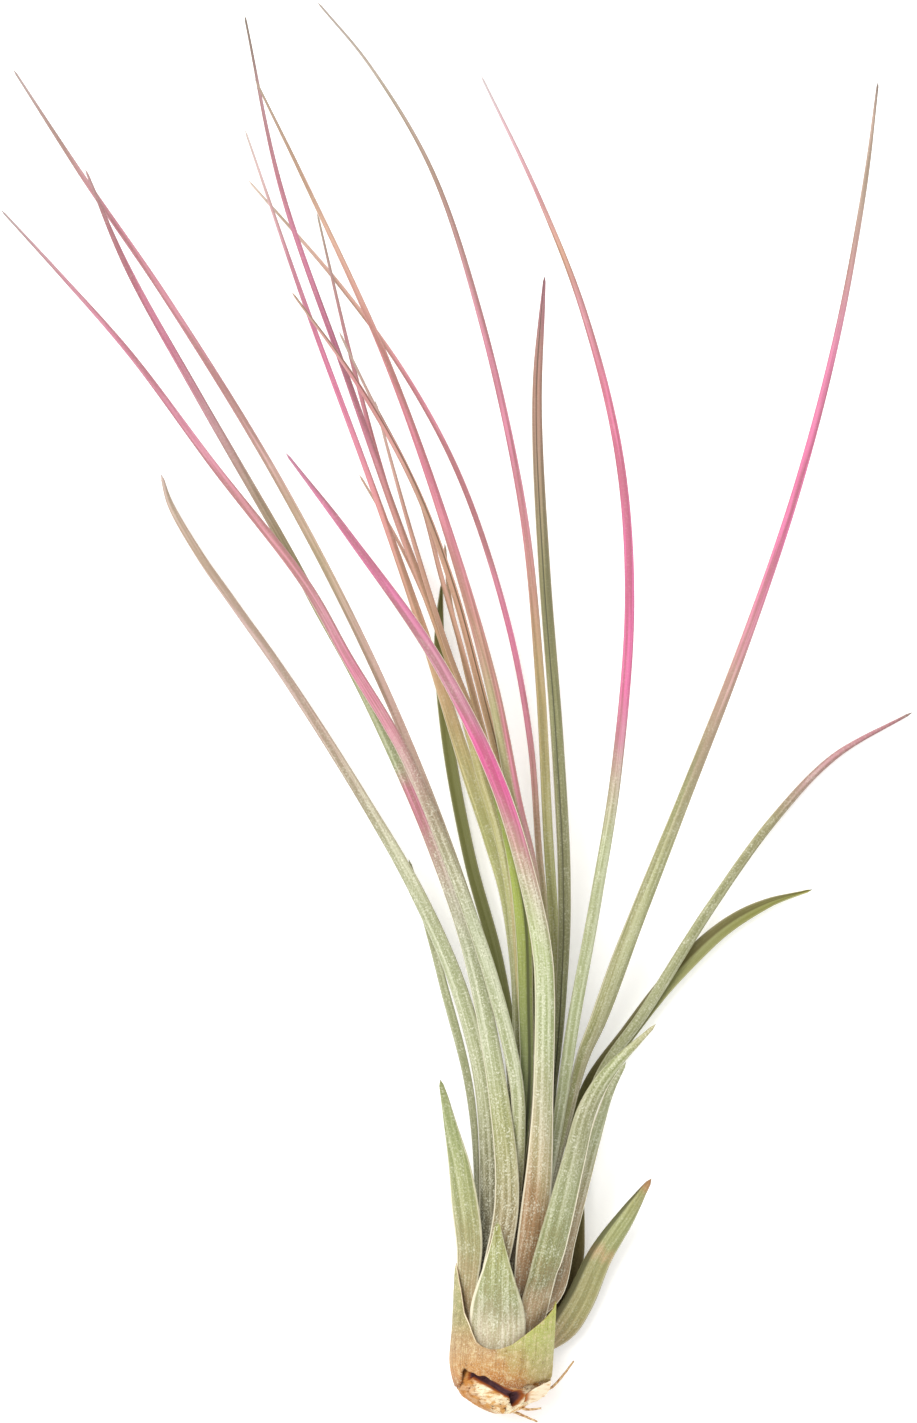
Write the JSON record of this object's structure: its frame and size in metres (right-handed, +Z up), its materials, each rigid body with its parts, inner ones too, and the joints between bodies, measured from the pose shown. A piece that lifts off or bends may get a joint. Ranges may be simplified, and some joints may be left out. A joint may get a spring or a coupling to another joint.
{
  "type": "tillandsia juncea",
  "caption": "Slender tufted air plant lying on a surface, its long tapering leaves fanning out from a clasping base with a dry cut stub.",
  "frame": {"origin": "on the surface that the plant lies on, at the flat spot under the basal sheath", "axes": "+Y along the plant from the cut stub to the leaf tips, +Z up from the surface towards the viewer, +X to the right seen from above"},
  "size_m": [0.164, 0.2562, 0.0361],
  "materials": {
    "stem": "rough",
    "husk": "rough",
    "sheath": "matt",
    "leaf_sage": "matt",
    "leaf_green": "matt",
    "leaf_olive": "matt",
    "leaf_lime": "satin",
    "leaf_rose": "satin",
    "leaf_pink": "satin",
    "leaf_mauve": "satin",
    "leaf_brown": "matt",
    "leaf_tan": "matt"
  },
  "bodies": {
    "root": {"stem": "stem", "husk_dry": "husk", "sheath_basal": "sheath", "leaf_left_pink": "leaf_rose", "leaf_left_mauve": "leaf_mauve", "leaf_left_brown": "leaf_brown", "leaf_left_low": "leaf_olive", "leaf_left_behind": "leaf_sage", "leaf_left_short": "leaf_green", "scale_front": "leaf_sage", "leaf_right_short": "leaf_green", "leaf_right_curved": "leaf_green", "leaf_right_narrow": "leaf_sage", "leaf_right_far": "leaf_olive", "leaf_right_under": "leaf_olive", "leaf_right_tall": "leaf_olive", "leaf_pink_arched": "leaf_pink", "leaf_olive_tall": "leaf_olive", "leaf_rose_long": "leaf_rose", "strand_pink_low": "leaf_rose", "leaf_pink_front": "leaf_pink", "strand_thick": "leaf_brown", "strand_orange": "leaf_tan", "strand_tan_pink": "leaf_rose", "strand_thin": "leaf_mauve", "strand_grooved": "leaf_mauve", "strand_fine": "leaf_brown", "strand_slim": "leaf_brown", "strand_hair_left": "leaf_tan", "strand_hair_middle": "leaf_tan", "leaf_lime": "leaf_lime", "leaf_olive_back": "leaf_olive"}
  },
  "joints": []
}
